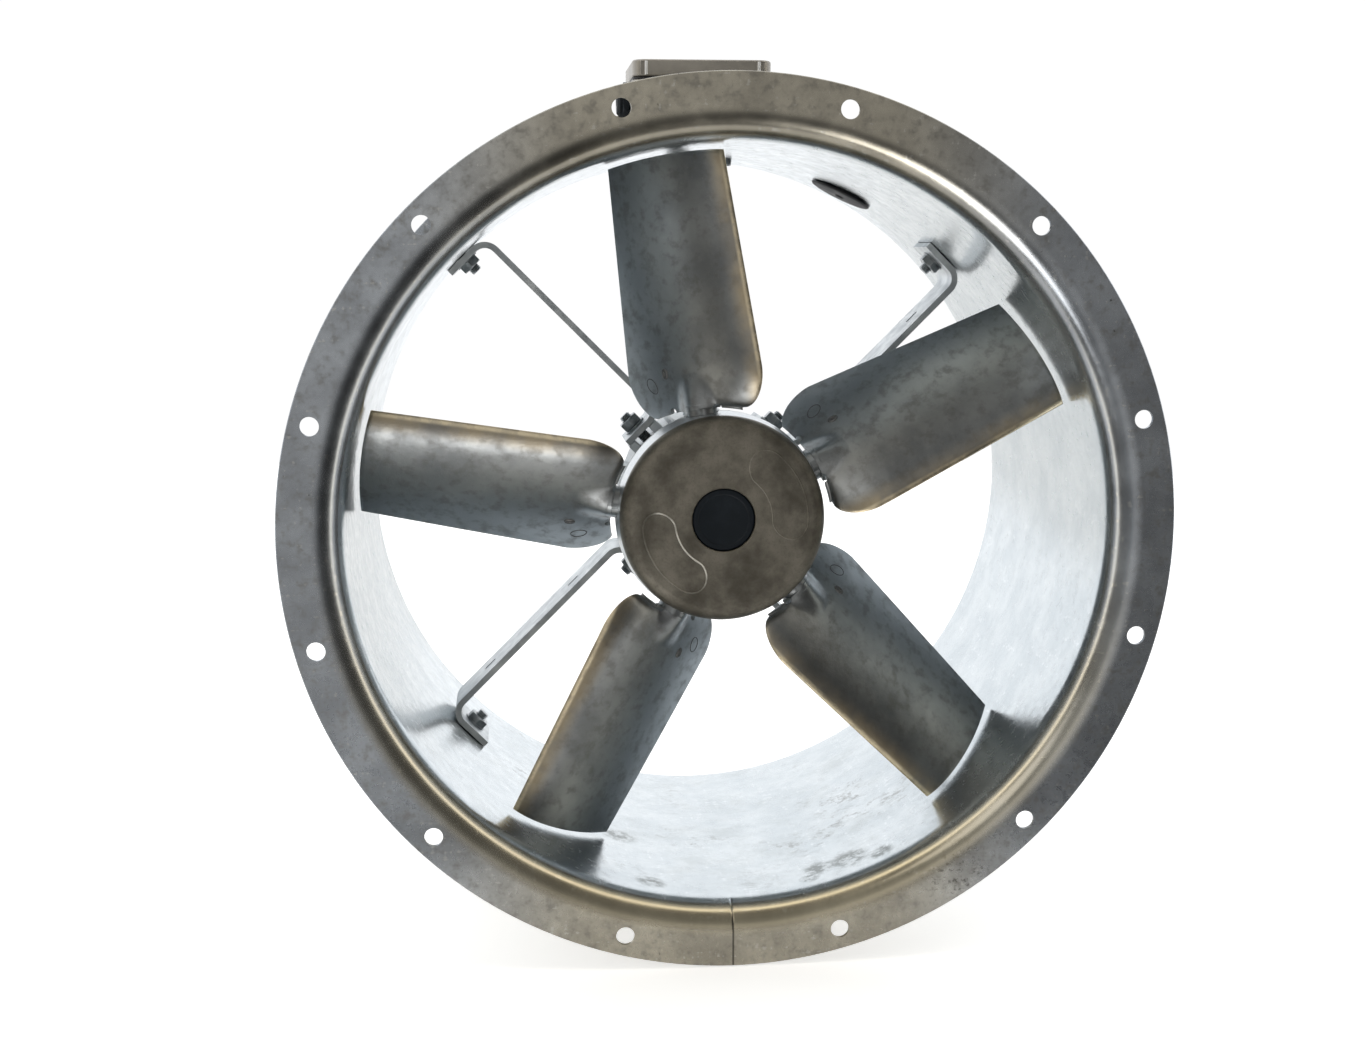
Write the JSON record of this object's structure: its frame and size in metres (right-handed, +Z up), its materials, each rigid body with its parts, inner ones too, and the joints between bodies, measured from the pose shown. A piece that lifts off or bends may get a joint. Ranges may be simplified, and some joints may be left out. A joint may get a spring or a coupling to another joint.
{
  "type": "inline duct fan",
  "caption": "Flanged round axial duct fan with an adjustable-blade cast impeller, a motor on bent flat arms and a terminal box on the casing.",
  "frame": {"origin": "centre of the inlet flange's front face, on the fan's axis", "axes": "+Y down the fan's axis from inlet to outlet, +Z up towards the terminal box, +X to the right when looking into the inlet"},
  "size_m": [0.525, 0.29, 0.5491],
  "materials": {
    "galvanised": "spangled galvanised sheet, dull on the flanges",
    "blade_aluminium": "sand-cast, mottled grey",
    "hub_aluminium": "cast, brown-grey",
    "zinc_steel": "zinc plated",
    "shaft_steel": "ground",
    "motor_paint": "light grey paint",
    "black_plastic": "satin",
    "rubber": "matt",
    "box_metal": "satin taupe",
    "lamination": "stacked laminations",
    "winding": "varnished copper wire",
    "cream_plastic": "satin"
  },
  "bodies": {
    "casing": {"casing": "galvanised", "blanking_plug": "rubber", "terminal_box_base": "box_metal", "terminal_box_lid": "box_metal", "lid_gasket": "rubber", "terminal_block": "cream_plastic", "cable_gland": "black_plastic", "gland_locknut": "black_plastic", "lead_grommet": "rubber", "motor_lead": "rubber", "motor_frame": "motor_paint", "drive_end_shield": "motor_paint", "rear_end_shield": "motor_paint", "stator_core": "lamination", "stator_winding": "winding", "bearing_outer_ring_front": "shaft_steel", "bearing_outer_ring_rear": "shaft_steel", "lid_screw_1": "zinc_steel", "support_arm_1": "galvanised", "casing_bolt_1": "zinc_steel", "casing_nut_1": "zinc_steel", "motor_nut_1": "zinc_steel", "lid_screw_2": "zinc_steel", "support_arm_2": "galvanised", "casing_bolt_2": "zinc_steel", "casing_nut_2": "zinc_steel", "motor_nut_2": "zinc_steel", "lid_screw_3": "zinc_steel", "support_arm_3": "galvanised", "casing_bolt_3": "zinc_steel", "casing_nut_3": "zinc_steel", "motor_nut_3": "zinc_steel", "lid_screw_4": "zinc_steel", "support_arm_4": "galvanised", "casing_bolt_4": "zinc_steel", "casing_nut_4": "zinc_steel", "motor_nut_4": "zinc_steel"},
    "impeller": {"hub_front_disc": "hub_aluminium", "hub_rear_disc": "hub_aluminium", "hub_bush": "shaft_steel", "hub_centre_cap": "black_plastic", "retaining_washer": "zinc_steel", "retaining_screw": "zinc_steel", "shaft_key": "shaft_steel", "shaft": "shaft_steel", "rotor_core": "lamination", "bearing_inner_ring_front": "shaft_steel", "bearing_inner_ring_rear": "shaft_steel", "blade_1": "blade_aluminium", "hub_bolt_1": "zinc_steel", "blade_2": "blade_aluminium", "hub_bolt_2": "zinc_steel", "blade_3": "blade_aluminium", "hub_bolt_3": "zinc_steel", "blade_4": "blade_aluminium", "hub_bolt_4": "zinc_steel", "blade_5": "blade_aluminium", "hub_bolt_5": "zinc_steel"},
    "front_balls": {"bearing_ball_cage_front": "shaft_steel"},
    "rear_balls": {"bearing_ball_cage_rear": "shaft_steel"}
  },
  "joints": [
    {"name": "impeller_spin", "type": "hinge", "parent": "casing", "child": "impeller", "pos_m": [0, 0.08, 0], "axis": [0, 1, 0], "continuous": true},
    {"name": "front_balls_roll", "type": "hinge", "parent": "casing", "child": "front_balls", "pos_m": [0, 0.128, 0], "axis": [0, 1, 0], "continuous": true},
    {"name": "rear_balls_roll", "type": "hinge", "parent": "casing", "child": "rear_balls", "pos_m": [0, 0.236, 0], "axis": [0, 1, 0], "continuous": true}
  ],
  "couplings": [
    {"joint": "front_balls_roll", "follows": "impeller_spin", "ratio": 0.4},
    {"joint": "rear_balls_roll", "follows": "impeller_spin", "ratio": 0.4}
  ]
}
